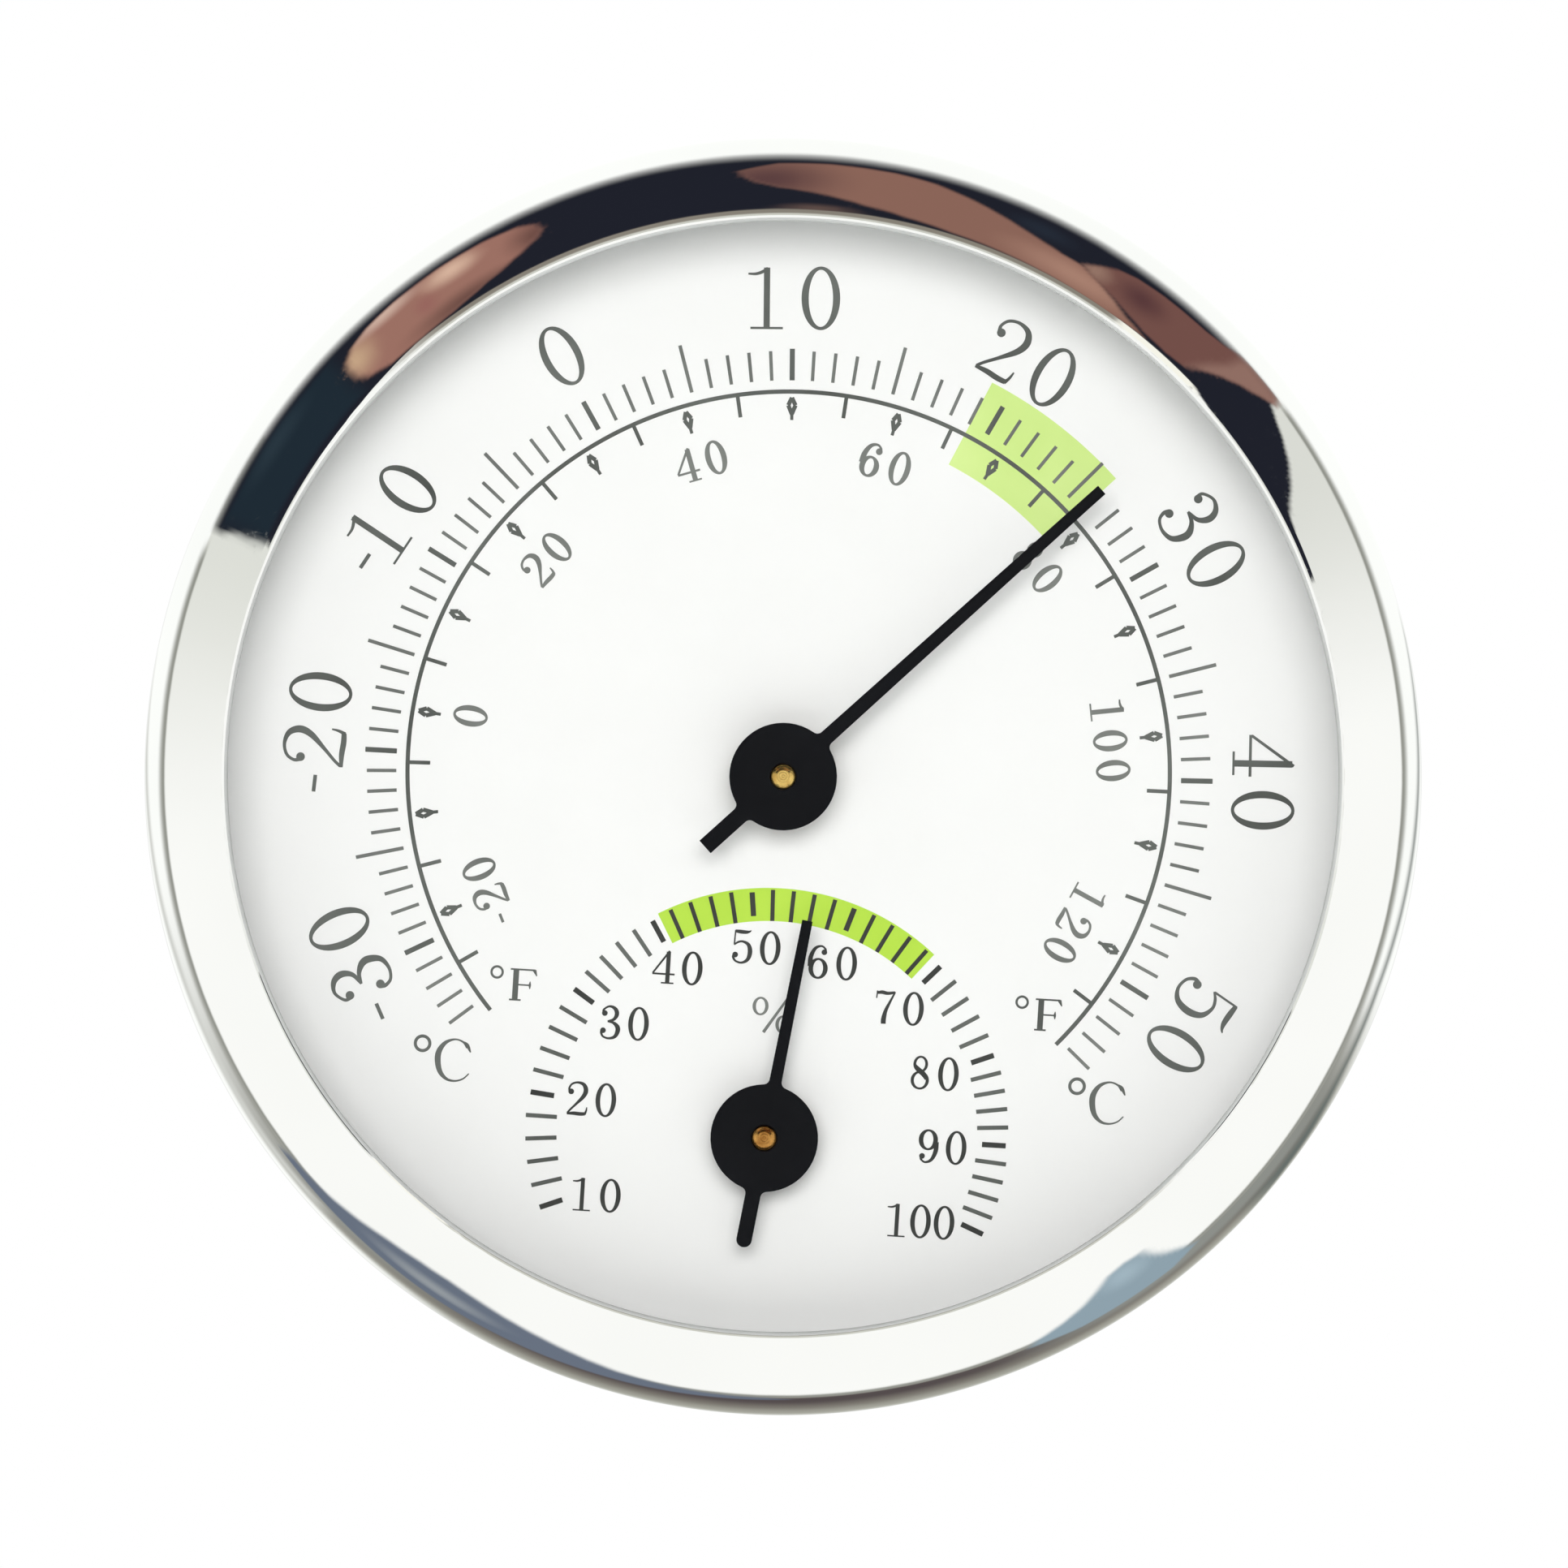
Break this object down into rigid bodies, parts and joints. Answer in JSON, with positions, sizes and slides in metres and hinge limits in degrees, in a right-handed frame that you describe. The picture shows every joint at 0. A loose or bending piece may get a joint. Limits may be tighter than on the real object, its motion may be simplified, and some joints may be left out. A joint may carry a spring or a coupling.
{
  "type": "dial hygrometer",
  "caption": "Round wall-hung dial hygrometer with a polished bezel, a domed lens, a temperature pointer and a smaller humidity pointer on one white dial.",
  "frame": {"origin": "centre of the back, in the plane of the back cover's flange that rests on the wall", "axes": "+Z to the dial's twelve o'clock, +Y out of the back towards the wall, the dial faces -Y, +X to the reader's right"},
  "size_m": [0.0604, 0.013, 0.0604],
  "materials": {
    "polished_steel": "mirror polished, spun",
    "clear_lens": "clear, polished",
    "dark_rubber": "matte, soft",
    "smoke_plastic": "fine matte",
    "grey_plastic": "moulded",
    "dial_white": "matte enamel",
    "scale_ink": "screen printed",
    "scale_green": "screen printed",
    "pressed_steel": "satin, pressed sheet",
    "plated_steel": "zinc plated",
    "brass": "turned",
    "bimetal_strip": "rolled strip",
    "humidity_strip": "paper-backed strip",
    "pointer_black": "satin black"
  },
  "bodies": {
    "case": {"bezel": "polished_steel", "lens": "clear_lens", "lens_gasket": "dark_rubber", "spacer_ring": "smoke_plastic", "dial_plate": "dial_white", "dial_support_ring": "grey_plastic", "back_cover": "pressed_steel", "temperature_front_bush": "brass", "temperature_bridge": "plated_steel", "temperature_bridge_posts": "plated_steel", "temperature_bridge_screws": "plated_steel", "humidity_front_bush": "brass", "humidity_bridge": "plated_steel", "humidity_bridge_posts": "plated_steel", "humidity_bridge_screws": "plated_steel"},
    "temperature_calibrator": {"temperature_calibration_screw": "brass", "temperature_friction_washer": "plated_steel", "temperature_coil_arm": "plated_steel", "temperature_coil_pin": "brass", "temperature_coil": "bimetal_strip"},
    "temperature_hand": {"temperature_arbor": "brass", "temperature_coil_collet": "brass", "temperature_pointer_boss": "brass", "temperature_pointer": "pointer_black"},
    "humidity_calibrator": {"humidity_calibration_screw": "brass", "humidity_friction_washer": "plated_steel", "humidity_coil_arm": "plated_steel", "humidity_coil_pin": "brass", "humidity_coil": "humidity_strip"},
    "humidity_hand": {"humidity_arbor": "brass", "humidity_coil_collet": "brass", "humidity_pointer_boss": "brass", "humidity_pointer": "pointer_black"}
  },
  "joints": [
    {"name": "temperature_calibration", "type": "hinge", "parent": "case", "child": "temperature_calibrator", "pos_m": [0, -0.0022, 0], "axis": [0, 1, 0], "range_deg": [-12, 12]},
    {"name": "temperature_reading", "type": "hinge", "parent": "temperature_calibrator", "child": "temperature_hand", "pos_m": [0, -0.0078, 0], "axis": [0, 1, 0], "range_deg": [-174, 87], "stiffness_Nm_per_rad": 0.0002, "deforming": ["temperature_coil"]},
    {"name": "humidity_calibration", "type": "hinge", "parent": "case", "child": "humidity_calibrator", "pos_m": [0.00015, -0.0022, -0.01715], "axis": [0, 1, 0], "range_deg": [-12, 12]},
    {"name": "humidity_reading", "type": "hinge", "parent": "humidity_calibrator", "child": "humidity_hand", "pos_m": [0.00015, -0.0078, -0.01715], "axis": [0, 1, 0], "range_deg": [-120, 104], "stiffness_Nm_per_rad": 0.0002, "deforming": ["humidity_coil"]}
  ]
}
